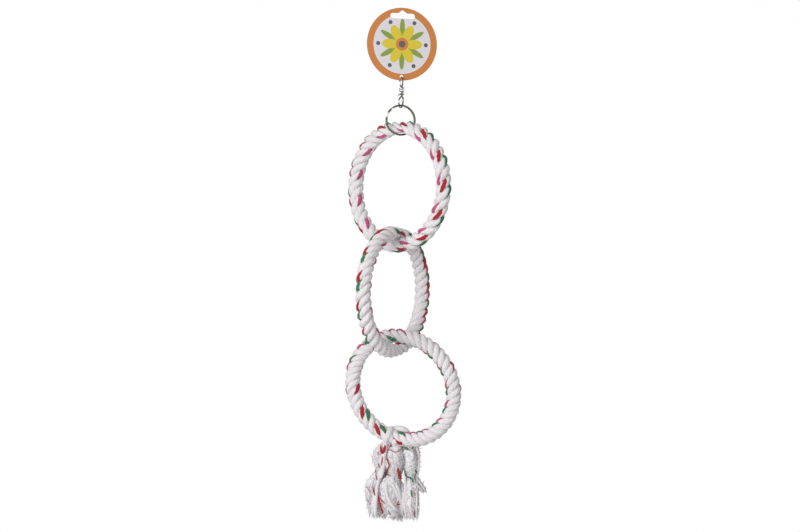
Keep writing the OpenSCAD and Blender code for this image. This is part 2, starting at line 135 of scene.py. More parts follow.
# Loose ends and curls on the tassel's front and back: colour, radius, and points across and up
FRONT_ENDS = (
    ("white", 2.2, ((-8, -586.6), (-9.6, -596.6), (-6.3, -609.1), (0.2, -619.1), (6.6, -625.4))),
    ("white", 1.9, ((-6.8, -586.6), (-0.4, -592.9), (4.1, -601.6), (6.1, -610.4), (5, -616.6))),
    ("white", 1.6, ((13, -575.4), (14.6, -594.1), (13.6, -612.9), (16.4, -632.9))),
    ("white", 1.4, ((19.4, -582.9), (22.2, -602.9), (21.2, -619.1), (24, -632.9))),
    ("white", 1.4, ((25.7, -585.4), (29.1, -606.6), (28.8, -625.4), (30.2, -635.4))),
    ("white", 1.8, ((27.5, -545.4), (30.8, -556.6), (30.4, -572.9), (28.8, -585.4), (29.7, -600.4))),
    ("white", 1.8, ((-12.5, -546.6), (-16, -560.4), (-17, -575.4), (-20.4, -594.1), (-25.1, -612.9),
                    (-26, -631.6))),
    ("white", 3.2, ((2.5, -590), (6.5, -602), (8.5, -616), (9, -630))),
    ("white", 3.4, ((-11, -543), (-12.8, -555), (-13.5, -570), (-16.5, -585))),
    ("white", 3.4, ((10, -590), (11.5, -604), (11.5, -618), (12, -632))),
    ("white", 3.4, ((-20.5, -596), (-22.5, -612), (-22, -632))),
    ("white", 2.4, ((11.3, -553.1), (15.8, -550.9), (21.9, -553.1), (22.7, -558.5), (18.3, -560.8))),
    ("white", 2.2, ((29, -585), (33.5, -592), (39.5, -600))),
    ("white", 1.8, ((28, -591), (33, -597), (38, -603))),
    ("red", 1.1, ((-20.3, -601.6), (-17.6, -612.9), (-13.7, -624.1), (-9.7, -635.9))),
    ("red", 1.3, ((-16.8, -543.5), (-16.4, -549.5), (-14.8, -554.1))),
    ("red", 1.8, ((-14.6, -554.1), (-12.6, -549.5), (-11.6, -543.5))),
    ("red", 0.6, ((-20.7, -551.5), (-20.3, -555))),
    ("red", 0.7, ((-14.3, -557), (-15, -562), (-15.7, -568))),
    ("red", 0.7, ((-22.4, -573.5), (-23.6, -578))),
    ("red", 0.6, ((-16.9, -609), (-13.5, -612.5), (-10, -615.5))),
    ("red", 0.8, ((-19.6, -565.4), (-18.3, -571.6))),
    ("red", 0.8, ((-22.6, -579.1), (-21.2, -586.6))),
    ("red", 0.8, ((-26.1, -594.1), (-24, -602.9), (-20.8, -609.1))),
    ("red", 0.9, ((-9.1, -557.9), (-7.8, -562.9), (-5.9, -567.9), (-8.3, -574.1), (-10, -580.4),
                  (-4.4, -580.4))),
    ("red", 2.1, ((4.9, -571.6), (7.4, -579), (8.7, -587))),
    ("red", 0.5, ((25.9, -600.4), (27.2, -604.1))),
    ("red", 0.7, ((26.3, -622.9), (27.4, -632.9))),
    ("red", 0.7, ((7.2, -610.9), (5.8, -614), (4.9, -617.4))),
    ("red", 0.7, ((10.6, -613.3), (8.4, -615.9), (4.9, -617.4))),
    ("pink", 0.5, ((-10, -541), (-6.2, -544.5), (-1.9, -544.8))),
    ("pink", 0.5, ((-8.7, -545.4), (-3.6, -549.8), (2.6, -551), (7.6, -547.9), (10.6, -544.1))),
    ("pink", 0.45, ((-34.2, -595.4), (-27.8, -602.9))),
    ("pink", 0.45, ((-32.7, -610.4), (-28.8, -617.9))),
    ("green", 1.4, ((11.9, -546), (15.5, -547), (18.8, -549.1))),
    ("green", 1.0, ((13.6, -575.4), (15.6, -581.6), (21.9, -584.1), (24.5, -589.1))),
    ("green", 1.3, ((21.5, -597.9), (23.5, -606.6))),
    ("green", 1.6, ((26.7, -573), (29.3, -580))),
)
BACK_ENDS = (
    ("white", 2.6, ((-6, -548), (-11, -565), (-14, -585), (-19, -605), (-20, -628))),
    ("white", 2.2, ((-3, -552), (-9, -572), (-13, -594), (-12, -612), (-15, -632))),
    ("white", 2.6, ((10, -548), (6, -566), (2, -584), (5, -604), (3, -630))),
    ("white", 2.0, ((13, -552), (9, -575), (4, -596), (8, -615), (7, -634))),
    ("white", 2.4, ((22, -556), (18, -575), (19, -596), (22, -628))),
    ("red", 1.0, ((-9, -556), (-13, -578), (-17, -600))),
    ("red", 0.8, ((6, -590), (4, -605), (7, -622))),
    ("pink", 0.6, ((9, -556), (5, -571))),
    ("green", 1.1, ((-16, -606), (-14, -618), (-17, -628))),
    ("green", 1.0, ((8, -560), (11, -572))),
)

# Lumps of fibre in the rope and in the tassel, with their height and size
ROPE_FELT = (0.15, 1.6)
TASSEL_FELT = (1.5, 2.6)

# How far the tag, the clip and the split ring are turned about the vertical
TAG_TURN = math.radians(16)

# Lamps, in metres: place and size
LAMPS = {
    "key": ((-1.4, -2.0, 0.1), 2.0),
    "fill": ((0.4, -2.6, -0.5), 1.4),
    "back": ((0.5, 2.6, -0.3), 2.0),
}


def paint(name, description, default):
    """A colour that the user may change."""
    return FloatVectorProperty(name=name, description=description, default=default, subtype="COLOR",
                               min=0, max=1)


class RopeSettings(bpy.types.PropertyGroup):
    yarns: IntProperty(name="Yarns", description="Yarns round each strand", default=5, min=4, max=9)
    yarn_share: FloatProperty(name="Yarn share", description="Radius of a yarn beside that of its strand",
                              subtype="FACTOR", default=0.7, min=0.3, max=0.8)
    plump: FloatProperty(name="Plumpness", description="Radius of a soft strand beside that of its solid",
                         default=1.12, min=1, max=1.4)
    loft: FloatProperty(name="Loft", description="Radius of the soft rope beside that of its solid",
                        default=1.05, min=1, max=1.15)
    fibres: IntProperty(name="Fibres", description="Loose surface fibres on each ring", default=600, min=0)
    cotton: paint("Cotton", "Colour of the bleached cotton", (0.83, 0.81, 0.84))
    shade: paint("Cotton shade", "Colour of worn or thin cotton", (0.70, 0.67, 0.67))
    red: paint("Red yarn", "Colour of the red yarn", (0.44, 0.024, 0.034))
    pink: paint("Pink yarn", "Colour of the pink yarn", (0.56, 0.09, 0.22))
    green: paint("Green yarn", "Colour of the green yarn", (0.05, 0.21, 0.1))


class TasselSettings(bpy.types.PropertyGroup):
    locks: IntProperty(name="Locks", description="Soft locks round each tail", default=7, min=3, max=12)
    plump: FloatProperty(name="Plumpness", description="Radius of a soft tail beside that of its solid",
                         default=1.14, min=1, max=1.4)
    waist: FloatProperty(name="Waist", description="How far a tail draws in below its knot", subtype="FACTOR",
                         default=0.32, min=0, max=0.6)
    threads: FloatProperty(name="Threads", default=3, min=1, max=30,
                           description="Threads of a tail for each millimetre of its widest radius")
    thread_radius: FloatProperty(name="Thread radius", default=0.4, min=0.2, max=2,
                                 description="Radius of an opened thread, in millimetres")
    wave: FloatProperty(name="Wave", description="How far opened threads wave, in millimetres",
                        default=1.0, min=0, max=4)
    fluff: IntProperty(name="Fluff", description="Short fibres on each tail", default=700, min=0)
    lashing_radius: FloatProperty(name="Lashing radius", default=3.9, min=2, max=6,
                                  description="Radius of a lashing strand, in millimetres")


class HardwareSettings(bpy.types.PropertyGroup):
    # The nickel colour shows only at painted highlights; the dark colour below is a painted dark reflection
    # on the rest of the wire
    nickel: paint("Nickel", "Colour of the polished wire", (0.68, 0.66, 0.63))
    dark_reflection: paint("Tarnish", "Colour of the dulled wire", (0.11, 0.105, 0.09))
    roughness: FloatProperty(name="Roughness", description="Roughness of the plating", subtype="FACTOR",
                             default=0.16, min=0, max=1)


class TagSettings(bpy.types.PropertyGroup):
    ground: paint("Ground", "Pale ground of the print", (0.76, 0.74, 0.79))
    rim: paint("Rim", "Orange rim of the print", (0.61, 0.21, 0.035))
    petal: paint("Petals", "Yellow petals of the print", (0.72, 0.57, 0.025))
    leaf: paint("Leaves", "Green leaves of the print", (0.23, 0.33, 0.03))
    ink: paint("Dark ink", "Grey ink of the print", (0.09, 0.085, 0.08))
    board: paint("Board", "Bare board on the back and the edge", (0.66, 0.64, 0.60))


class StageSettings(bpy.types.PropertyGroup):
    distance: FloatProperty(name="Camera distance", description="From the camera to the toy",
                            subtype="DISTANCE", default=3.0, min=1)
    view_width: FloatProperty(name="View width", description="Width of the view at the toy",
                              subtype="DISTANCE", default=1.0, min=0.2)
    aim_x: FloatProperty(name="Aim across", description="Middle of the view across", subtype="DISTANCE",
                         default=0.0028)
    aim_z: FloatProperty(name="Aim up", description="Middle of the view upwards", subtype="DISTANCE",
                         default=-0.3195)
    roll: FloatProperty(name="Roll", description="Lean of the camera", subtype="ANGLE",
                        default=math.radians(1.1))
    floor: paint("Floor", "Colour of the floor", (0.8, 0.8, 0.8))
    key: FloatProperty(name="Key light", description="Power of the main lamp", default=45, min=0)
    fill: FloatProperty(name="Fill light", description="Power of the second lamp", default=9, min=0)
    back: FloatProperty(name="Back light", description="Power of the lamp behind the toy", default=30, min=0)
    ambient: paint("Ambient", "Light all round", (0.35, 0.335, 0.325))


SETTINGS = {
    "toy_rope": RopeSettings,
    "toy_tassel": TasselSettings,
    "toy_hardware": HardwareSettings,
    "toy_tag": TagSettings,
    "toy_stage": StageSettings,
}


class Shader:
    """A new material's node tree, with short calls to add and join nodes."""

    def __init__(self, name):
        self.material = bpy.data.materials.new(name)
        self.material.use_nodes = True
        self.tree = self.material.node_tree
        self.surface = self.tree.nodes["Principled BSDF"]

    def add(self, kind, **values):
        node = self.tree.nodes.new(kind)
        for key, value in values.items():
            setattr(node, key, value)
        return node

    def feed(self, socket, value):
        """Joins an output to a socket, or sets the socket to a plain value."""
        if isinstance(value, bpy.types.NodeSocket):
            self.tree.links.new(value, socket)
        else:
            socket.default_value = value

    def set(self, **values):
        for key, value in values.items():
            self.feed(self.surface.inputs[key.replace("_", " ")], value)

    def maths(self, operation, a, b=0.0):
        node = self.add("ShaderNodeMath", operation=operation)
        self.feed(node.inputs[0], a)
        self.feed(node.inputs[1], b)
        return node.outputs[0]

    def length(self, a, b):
        """Length of a line with these two parts at right angles."""
        squares = [self.maths("MULTIPLY", part, part) for part in (a, b)]
        return self.maths("SQRT", self.maths("ADD", *squares))

    def mix(self, share, a, b):
        """Blends two colours, each an output or a plain colour."""
        node = self.add("ShaderNodeMix", data_type="RGBA")
        self.feed(node.inputs["Factor"], share)
        for key, tone in (("A", a), ("B", b)):
            self.feed(node.inputs[key], tone if isinstance(tone, bpy.types.NodeSocket) else (*tone, 1))
        return node.outputs["Result"]

    def coordinates(self, kind, scale=(1, 1, 1), turn=(0, 0, 0), move=(0, 0, 0)):
        place = self.add("ShaderNodeMapping")
        self.tree.links.new(self.add("ShaderNodeTexCoord").outputs[kind], place.inputs["Vector"])
        place.inputs["Scale"].default_value = scale
        place.inputs["Rotation"].default_value = turn
        place.inputs["Location"].default_value = move
        return place.outputs["Vector"]

    def noise(self, where, scale, detail=2.0):
        node = self.add("ShaderNodeTexNoise")
        self.tree.links.new(where, node.inputs["Vector"])
        node.inputs["Scale"].default_value = scale
        node.inputs["Detail"].default_value = detail
        return node.outputs["Fac"]

    def spread(self, value, low, high):
        """Stretches the part of a value between low and high over 0 to 1."""
        node = self.add("ShaderNodeMapRange")
        self.feed(node.inputs["Value"], value)
        node.inputs["From Min"].default_value = low
        node.inputs["From Max"].default_value = high
        return node.outputs["Result"]

    def bump(self, height, distance, strength=1.0):
        node = self.add("ShaderNodeBump")
        self.feed(node.inputs["Height"], height)
        node.inputs["Distance"].default_value = distance
        node.inputs["Strength"].default_value = strength
        self.tree.links.new(node.outputs["Normal"], self.surface.inputs["Normal"])


def yarn_finish(name, tint, shade, plies, fuzz=0.35):
    """Cotton yarn: plies that wind round it, fine fibre, and a soft sheen."""
    plies_across, fibre_scale, cloud_scale = 3.0, 1600.0, 60.0
    worn_share, grain_share, ply_share = 0.5, 0.35, 0.5
    relief = 0.3 * MM
    shader = Shader(name)
    along = shader.coordinates("UV", scale=(plies, 1, 1))
    split = shader.add("ShaderNodeSeparateXYZ")
    shader.tree.links.new(along, split.inputs[0])
    around = shader.maths("MULTIPLY", split.outputs["Y"], plies_across)
    ply = shader.maths("PINGPONG", shader.maths("ADD", split.outputs["X"], around), 0.5)
    fibre = shader.noise(shader.coordinates("Object"), fibre_scale, 3.0)
    cloud = shader.noise(shader.coordinates("Object"), cloud_scale, 2.0)
    worn = shader.maths("MULTIPLY", shader.spread(cloud, 0.45, 0.75), worn_share)
    grain = shader.maths("MULTIPLY", shader.spread(fibre, 0.5, 0.8), grain_share)
    base = shader.mix(shader.maths("MAXIMUM", worn, grain), tint, shade)
    height = shader.maths("ADD", shader.maths("MULTIPLY", ply, ply_share), fibre)
    shader.set(Base_Color=base, Roughness=0.92, Sheen_Weight=fuzz, Sheen_Roughness=0.6,
               Specular_IOR_Level=0.15)
    shader.bump(height, relief, 0.6)
    return shader.material


def nickel_finish(settings):
    """Plated wire: dark metal as a painted dark reflection, with painted highlights in noise patches and at
    the listed spots.
    """
    mark_scale, mark_roughness, patch_scale = 900.0, 0.12, 400.0
    relief = 0.02 * MM
    shader = Shader("nickel_plate")
    marks = shader.noise(shader.coordinates("Object", scale=(1, 1, 4)), mark_scale, 3.0)
    # Painted highlights: the listed spots and noise patches; elsewhere the dark colour paints a dark
    # reflection
    rubbed = shader.add("ShaderNodeAttribute", attribute_name="rubbed").outputs["Fac"]
    highlight_patches = shader.noise(shader.coordinates("Object"), patch_scale, 1.0)
    highlight_share = shader.spread(shader.maths("ADD", rubbed, highlight_patches), 0.65, 1.05)
    base = shader.mix(highlight_share, settings.dark_reflection, settings.nickel)
    rough = shader.maths("ADD", shader.maths("MULTIPLY", marks, mark_roughness), settings.roughness)
    shader.set(Base_Color=base, Metallic=1.0, Roughness=rough)
    shader.bump(marks, relief, 0.5)
    return shader.material


def card_finish(settings):
    """Printed board: a rosette of petals and leaves in a rim, on the front only."""
    tag_middle, petals = 42.2 * MM, 6
    petal_foot, petal_length, leaf_foot, leaf_length, leaf_point = 9.0, 17.0, 7.0, 25.0, 5.0
    heart_r, core_r, dot_ring, dot_r, line_r, rim_r = 8.0, 4.2, 31.0, 2.6, 36.2, 37.0
    white, dark_board = (0.86, 0.85, 0.86), (0.5, 0.47, 0.43)
    board_scale, board_share, ink_scale, ink_share = 900.0, 0.35, 2600.0, 0.16
    board_rough, print_rough, relief = 0.75, 0.37, 0.04 * MM
    shader = Shader("tag_print")
    place = shader.add("ShaderNodeSeparateXYZ")
    where = shader.coordinates("Object", turn=(0, 0, -TAG_TURN), move=(0, 0, tag_middle))
    shader.tree.links.new(where, place.inputs[0])
    x = shader.maths("MULTIPLY", place.outputs["X"], 1 / MM)
    z = shader.maths("MULTIPLY", place.outputs["Z"], 1 / MM)
    r = shader.length(x, z)
    angle = shader.maths("ARCTAN2", z, x)
    waves = shader.maths("MULTIPLY", angle, petals / 2)
    wide = shader.maths("ABSOLUTE", shader.maths("COSINE", waves))
    thin = shader.maths("POWER", shader.maths("ABSOLUTE", shader.maths("SINE", waves)), leaf_point)
    petal_r = shader.maths("ADD", shader.maths("MULTIPLY", wide, petal_length), petal_foot)
    leaf_r = shader.maths("ADD", shader.maths("MULTIPLY", thin, leaf_length), leaf_foot)
    sector = TURN / petals
    turned = shader.maths("FLOORED_MODULO", shader.maths("ADD", angle, sector / 2), sector)
    off_dot = shader.maths("SUBTRACT", turned, sector / 2)
    dot_x = shader.maths("SUBTRACT", shader.maths("MULTIPLY", r, shader.maths("COSINE", off_dot)), dot_ring)
    dot_y = shader.maths("MULTIPLY", r, shader.maths("SINE", off_dot))
    print_colour = settings.ground
    layers = (
        (shader.maths("LESS_THAN", r, leaf_r), settings.leaf),
        (shader.maths("LESS_THAN", r, petal_r), settings.petal),
        (shader.maths("LESS_THAN", r, heart_r), settings.rim),
        (shader.maths("LESS_THAN", r, core_r), settings.ink),
        (shader.maths("LESS_THAN", shader.length(dot_x, dot_y), dot_r), settings.ink),
        (shader.maths("GREATER_THAN", r, line_r), white),
        (shader.maths("GREATER_THAN", r, rim_r), settings.rim),
    )
    for mask, ink in layers:
        print_colour = shader.mix(mask, print_colour, ink)
    facing = shader.add("ShaderNodeVectorMath", operation="DOT_PRODUCT")
    shader.tree.links.new(shader.add("ShaderNodeTexCoord").outputs["Normal"], facing.inputs[0])
    facing.inputs[1].default_value = (math.sin(TAG_TURN), -math.cos(TAG_TURN), 0)
    front = shader.maths("GREATER_THAN", facing.outputs["Value"], 0.5)
    fibre = shader.noise(shader.coordinates("Object"), board_scale, 4.0)
    board = shader.mix(shader.maths("MULTIPLY", fibre, board_share), settings.board, dark_board)
    tone = shader.noise(shader.coordinates("Object"), ink_scale, 2.0)
    thin_ink = shader.maths("MULTIPLY", shader.spread(tone, 0.5, 0.8), ink_share)
    faded = shader.mix(thin_ink, print_colour, white)
    rough = shader.maths("SUBTRACT", board_rough, shader.maths("MULTIPLY", front, board_rough - print_rough))
    shader.set(Base_Color=shader.mix(front, board, faded), Roughness=rough)
    shader.bump(fibre, relief, 0.4)
    return shader.material


class TOY_OT_materials(bpy.types.Operator):
    """Makes the cotton, nickel and card finishes"""
    bl_idname = "toy.materials"
    bl_label = "Finishes"

    plies = 160
    loose_plies = 24
    dyed_shade = 0.55
    dyed_fuzz = 0.1

    def execute(self, context):
        rope = context.scene.toy_rope
        yarn_finish("cotton_yarn", rope.cotton, rope.shade, self.plies)
        yarn_finish("loose_cotton", rope.cotton, rope.shade, self.loose_plies)
        for tint in COLOURS:
            tone = getattr(rope, tint)
            shade = [self.dyed_shade * part for part in tone]
            yarn_finish(f"{tint}_yarn", tone, shade, self.plies, self.dyed_fuzz)
        nickel_finish(context.scene.toy_hardware)
        card_finish(context.scene.toy_tag)
        return {"FINISHED"}


def new_piece(name, mesh, body, nodes=()):
    """Puts a mesh in the scene as a piece that rides on a body and stands for solids."""
    piece = bpy.data.objects.new(name, mesh)
    bpy.context.scene.collection.objects.link(piece)
    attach(piece, body)
    if nodes:
        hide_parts(*nodes)


# A yarn's path and radii in millimetres, the index of its material, and whether it closes on itself
Yarn = namedtuple("Yarn", "path radii material closed")


def yarn_mesh(name, yarns, sides_step, materials):
    """Yarns swept round along their paths, as one mesh."""
    curve = bpy.data.curves.new(name, "CURVE")
    curve.dimensions = "3D"
    curve.bevel_depth = MM
    curve.bevel_resolution = sides_step
    curve.use_fill_caps = True
    for material in materials:
        curve.materials.append(material)
    for yarn in yarns:
        spline = curve.splines.new("POLY")
        spline.points.add(len(yarn.path) - 1)
        spline.points.foreach_set("co", [part for p in yarn.path for part in (*(p * MM), 1.0)])
        spline.points.foreach_set("radius", yarn.radii)
        spline.use_cyclic_u = yarn.closed
        spline.material_index = yarn.material
    holder = bpy.data.objects.new(name, curve)
    mesh = bpy.data.meshes.new_from_object(holder)
    bpy.data.objects.remove(holder)
    bpy.data.curves.remove(curve)
    shape = bmesh.new()
    shape.from_mesh(mesh)
    bmesh.ops.remove_doubles(shape, verts=shape.verts, dist=1e-7)
    bmesh.ops.recalc_face_normals(shape, faces=shape.faces)
    shape.to_mesh(mesh)
    shape.free()
    mesh.name = name
    return mesh


def felt(mesh, height, size):
    """Presses small lumps of fibre into a mesh, of a height and size in millimetres."""
    finer, weaker = 2.1, 0.5
    normals = [vertex.normal.copy() for vertex in mesh.vertices]
    for vertex, normal in zip(mesh.vertices, normals):
        spot = vertex.co / (size * MM)
        lumps = noise.noise(spot) + weaker * noise.noise(finer * spot)
        vertex.co += normal * (height * MM * lumps)


def yarn_piece(name, yarns, sides_step, materials, body, nodes=(), lumps=None):
    """A piece swept from yarns, with lumps of fibre pressed in where their height and size are given."""
    mesh = yarn_mesh(name, yarns, sides_step, materials)
    if lumps:
        felt(mesh, *lumps)
    new_piece(name, mesh, body, nodes)


def mark_painted_highlights(mesh):
    """Stores how strongly each point takes a painted highlight, as an attribute for the plating."""
    marks = mesh.attributes.new("rubbed", "FLOAT", "POINT")
    for vertex, mark in zip(mesh.vertices, marks.data):
        x, _, z = vertex.co / MM
        shares = [1 - math.hypot(x - spot_x, z - spot_z) / reach for spot_x, spot_z, reach in PAINTED_HIGHLIGHTS]
        mark.value = max(0.0, *shares)


def across(turn):
    """The level direction at an angle round the vertical."""
    return Vector((math.cos(turn), math.sin(turn), 0))


def taper(left, tip, rate):
    """Share of its radius that a yarn keeps with this much of it left, from its tip's share upwards."""
    return min(1.0, tip + rate * left)


def squeeze(ring, t):
    """Share of its full size that the rope has at angle t, in radians off the top."""
    share = 1.0
    for angle, nip in ring.nips:
        away = (t - math.radians(angle) + math.pi) % TURN - math.pi
        far = away * ring.width / 2 / NIP_LENGTH
        share *= 1 - nip * math.exp(-far * far)
    return share


def rope_frame(ring, t):
    """Middle of the rope at angle t, its direction, outwards and towards its front."""
    side, lean = across(math.radians(ring.turn)), math.radians(ring.lean)
    face = side.cross(UP)
    wide = (math.cos(lean) * side - math.sin(lean) * UP) * ring.width / 2
    high = (math.sin(lean) * side + math.cos(lean) * UP) * ring.height / 2
    middle = Vector(ring.centre) + wide * math.sin(t - lean) + high * math.cos(t - lean)
    way = (wide * math.cos(t - lean) - high * math.sin(t - lean)).normalized()
    return middle, way, face.cross(way), face


def strand_turn(ring, place, t):
    """How far a strand has turned round the rope at angle t."""
    return ring.lays * t + math.radians(ring.start) + place * TURN / 3


def strand_frame(ring, place, t, strand_r):
    """Middle of a strand at angle t, outwards and sideways on it, and the rope's share there."""
    middle, way, out, face = rope_frame(ring, t)
    size = squeeze(ring, t)
    lay_r = ROPE_R * bpy.context.scene.toy_rope.loft - strand_r
    turn = strand_turn(ring, place, t)
    lean = math.atan(2 * lay_r * size * ring.lays / ring.width)
    strand_out = math.cos(turn) * out + math.sin(turn) * face
    side = math.cos(lean) * way.cross(strand_out) - math.sin(lean) * way
    return middle + size * lay_r * strand_out, strand_out, side, size


def crown(ring_name, tint, t):
    """Angle round the rope at which a coloured yarn shows, between the places where it is known."""
    known = CROWNS[ring_name][tint]
    degrees = math.degrees(t)
    for (a, low), (b, high) in zip(known, known[1:]):
        if a <= degrees <= b:
            return math.radians(low + (high - low) * (degrees - a) / (b - a))


class TOY_OT_rope_rings(bpy.types.Operator):
    """Lays the three strands of each rope ring from their yarns, one of them coloured"""
    bl_idname = "toy.rope_rings"
    bl_label = "Rope rings"

    points_per_lay = 32
    sides_step = 2
    dash_edge = -0.45
    shortest_dash = 3
    dash_share, dash_swell = 0.96, 0.14
    swell_waves, swell_depth = (5, 8, 13), 0.012
    drift_waves, drift_depth = (3, 7), 0.05
    yarn_thickness = (0.95, 1.03)

    def dashes(self, path, radii, shown):
        """Short lengths of the coloured yarn, where it comes to the top of its strand."""
        count = len(path)
        hidden = shown.index(min(shown))
        dashes, run = [], []
        for step in range(hidden, hidden + count + 1):
            at = step % count
            if shown[at] > self.dash_edge:
                run.append(at)
                continue
            if self.shortest_dash < len(run) < self.points_per_lay / 2:
                clear = [(shown[k] - self.dash_edge) / (1 - self.dash_edge) for k in run]
                thick = [radii[k] * (self.dash_share + self.dash_swell * part ** 0.5)
                         for k, part in zip(run, clear)]
                dashes.append(Yarn([path[k] for k in run], thick, 1, False))
            run = []
        return dashes

    def strand_yarns(self, settings, ring_name, place, tint, chance):
        """The yarns of one strand, twisted against the lay, and its coloured dashes."""
        ring = RINGS[ring_name]
        steps = ring.lays * self.points_per_lay
        strand_r = ring.strand * settings.plump
        yarn_r = strand_r * settings.yarn_share
        swell = [(k, chance.uniform(0, TURN)) for k in self.swell_waves]
        yarns = []
        for index in range(settings.yarns):
            thick = chance.uniform(*self.yarn_thickness)
            drift = [(k, chance.uniform(0, TURN)) for k in self.drift_waves]
            path, radii, shown = [], [], []
            for step in range(steps):
                t = TURN * step / steps
                middle, out, side, size = strand_frame(ring, place, t, strand_r)
                full = 1 + sum(self.swell_depth * math.sin(k * t + start) for k, start in swell)
                wander = sum(self.drift_depth * math.sin(k * t + start) for k, start in drift)
                off_crown = crown(ring_name, tint, t) - strand_turn(ring, place, t)
                a = 2 * off_crown + TURN * index / settings.yarns + wander
                reach = size * full * (strand_r - yarn_r)
                path.append(middle + reach * (math.cos(a) * out + math.sin(a) * side))
                radii.append(yarn_r * thick * full * size)
                shown.append(math.cos(a) if math.cos(off_crown) > 0 else -1)
            yarns.append(Yarn(path, radii, 0, True))
            if index == 0:
                yarns += self.dashes(path, radii, shown)
        return yarns

    def execute(self, context):
        settings = context.scene.toy_rope
        white = bpy.data.materials["cotton_yarn"]
        for ring_name in RINGS:
            for place, tint in enumerate(RINGS[ring_name].order):
                node = f"{ring_name}_strand_{tint}"
                chance = random.Random(node)
                yarns = self.strand_yarns(settings, ring_name, place, tint, chance)
                materials = (white, bpy.data.materials[f"{tint}_yarn"])
                yarn_piece(f"{node}_yarns", yarns, self.sides_step, materials, f"{ring_name}_ring",
                           (node,), ROPE_FELT)
        return {"FINISHED"}


def blend_point(points, i, s):
    """A smooth curve through a list of points, at share s of the way from point i."""
    a, b = points[max(i - 1, 0)], points[i]
    c, d = points[i + 1], points[min(i + 2, len(points) - 1)]
    return [0.5 * (2 * q + (r - p) * s + (2 * p - 5 * q + 4 * r - u) * s * s
                   + (3 * q - p - 3 * r + u) * s ** 3) for p, q, r, u in zip(a, b, c, d)]


def spaced(low, high, steps):
    """Numbers from low to high in equal steps, both included."""
    return [low + (high - low) * k / steps for k in range(steps + 1)]


def bend(p, p_way, q, q_way, steps=10):
    """A smooth bend of wire from one end point and direction to another, ends left out."""
    near, far = p + Vector(p_way), q - Vector(q_way)
    return [p * (1 - s) ** 3 + near * 3 * s * (1 - s) ** 2 + far * 3 * s * s * (1 - s) + q * s ** 3
            for s in spaced(0, 1, steps)[1:-1]]


def smooth_path(points, per_span):
    """A smooth path through points, with a number of steps between each two."""
    path = []
    for i in range(len(points) - 1):
        path += [Vector(blend_point(points, i, k / per_span)) for k in range(per_span)]
    return path + [points[-1]]


def twisted_yarns(path, radius, count, yarn_share, twist=0.2):
    """The yarns of one strand that follows a path, twisted by an angle for each millimetre of it."""
    yarn_r = radius * yarn_share
    ways = [(path[min(i + 1, len(path) - 1)] - path[max(i - 1, 0)]).normalized() for i in range(len(path))]
    sideways = [ways[0].orthogonal().normalized()]
    for way in ways[1:]:
        carried = sideways[-1] - sideways[-1].dot(way) * way
        sideways.append(carried.normalized())
    yarns = []
    for index in range(count):
        line, turn = [], TURN * index / count
        for i, (spot, way, side) in enumerate(zip(path, ways, sideways)):
            if i:
                turn -= twist * (spot - path[i - 1]).length
            line.append(spot + (radius - yarn_r) * (math.cos(turn) * side + math.sin(turn) * way.cross(side)))
        yarns.append(Yarn(line, [yarn_r] * len(line), 0, False))
    return yarns


class Tail:
    """One frayed tail: its middle and radius at each share of its length."""

    waist_at = 0.4
    waist_span = 0.07

    def __init__(self, node):
        self.settings = bpy.context.scene.toy_tassel
        self.points = TAILS[node]
        self.widest = max(point[3] for point in self.points)
        self.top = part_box(node)[1].z / MM
        self.centre = Vector(RINGS["lower"].centre)

    def at(self, share):
        span = len(self.points) - 1
        i = min(int(share * span), span - 1)
        x, y, depth, radius = blend_point(self.points, i, share * span - i)
        drawn = 1 - self.settings.waist * math.exp(-((depth - self.waist_at) / self.waist_span) ** 2)
        middle = Vector((self.centre.x + x, self.centre.y + y, self.top - depth * TASSEL_LENGTH))
        return middle, self.settings.plump * radius * drawn


